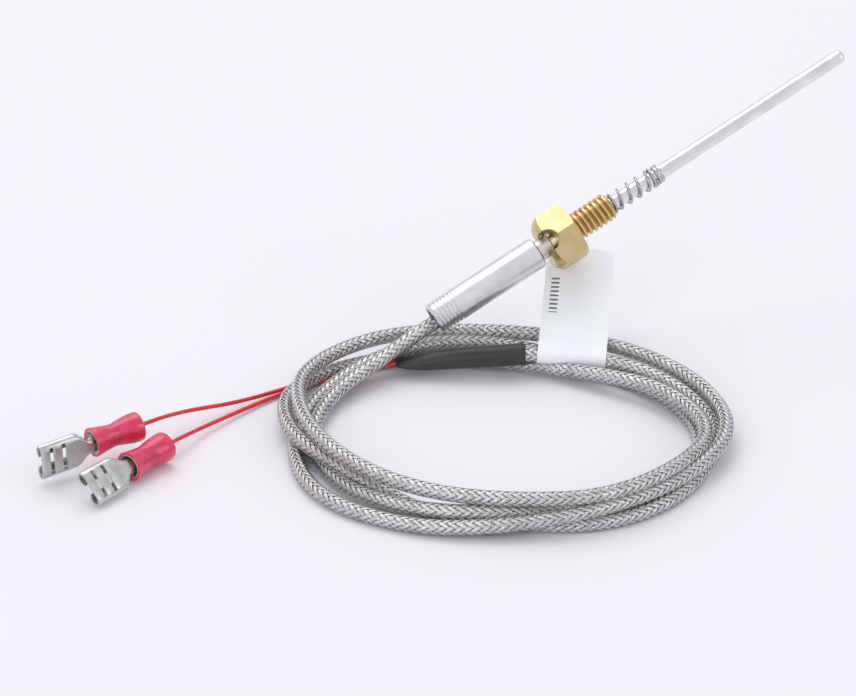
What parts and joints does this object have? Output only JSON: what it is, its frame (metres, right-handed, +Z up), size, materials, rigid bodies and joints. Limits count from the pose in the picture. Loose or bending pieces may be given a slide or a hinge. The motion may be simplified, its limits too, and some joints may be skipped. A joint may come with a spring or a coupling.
{
  "type": "thermocouple",
  "caption": "Spring-loaded thermocouple probe with a sliding brass threaded bushing, braided lead in a loose coil, and insulated push-on receptacle terminals.",
  "frame": {"origin": "centre of the bushing's hexagon front face, the seating shoulder, on the probe axis", "axes": "+Z up from the table, +X the way the probe points seen from above; the probe rises 25 degrees from +X towards +Z, and the table is 26.25 mm below the origin"},
  "size_m": [0.1946, 0.0918, 0.0575],
  "materials": {
    "stainless_tube": "satin",
    "turned_stainless": "satin",
    "spring_wire": "gloss",
    "bushing_brass": "satin",
    "braid": "satin",
    "heat_shrink": "satin",
    "lead_insulation": "satin",
    "tinned_brass": "satin",
    "red_grip": "gloss",
    "label_film": "matte",
    "mineral_insulation": "matte",
    "thermocouple_alloy": "satin",
    "potting": "matte",
    "splice_copper": "satin"
  },
  "bodies": {
    "probe": {"probe_sheath": "stainless_tube", "tip_plug": "stainless_tube", "sheath_insulator": "mineral_insulation", "first_thermoelement": "thermocouple_alloy", "second_thermoelement": "thermocouple_alloy", "measuring_junction": "thermocouple_alloy", "transition_sleeve": "turned_stainless", "sleeve_potting": "potting", "first_splice": "splice_copper", "second_splice": "splice_copper", "first_conductor": "lead_insulation", "second_conductor": "lead_insulation", "spring_collar": "turned_stainless", "cable_exit": "braid", "cable_coil": "braid", "cable_tail": "braid", "heat_shrink": "heat_shrink", "first_lead_wire": "lead_insulation", "second_lead_wire": "lead_insulation", "first_receptacle": "tinned_brass", "second_receptacle": "tinned_brass", "first_support_sleeve": "tinned_brass", "second_support_sleeve": "tinned_brass", "first_insulation_grip": "red_grip", "second_insulation_grip": "red_grip", "wire_label": "label_film"},
    "spring": {"loading_spring": "spring_wire"},
    "bushing": {"threaded_bushing": "bushing_brass"}
  },
  "joints": [
    {"name": "bushing_slide", "type": "slide", "parent": "probe", "child": "spring", "axis": [0.9063, 0, 0.4226], "range_m": [0, 0.006], "stiffness_N_per_m": 900, "springref_m": -0.004, "deforming": ["loading_spring"]},
    {"name": "bushing_spin", "type": "hinge", "parent": "spring", "child": "bushing", "pos_m": [0, 0, 0], "axis": [0.9063, 0, 0.4226], "continuous": true}
  ]
}
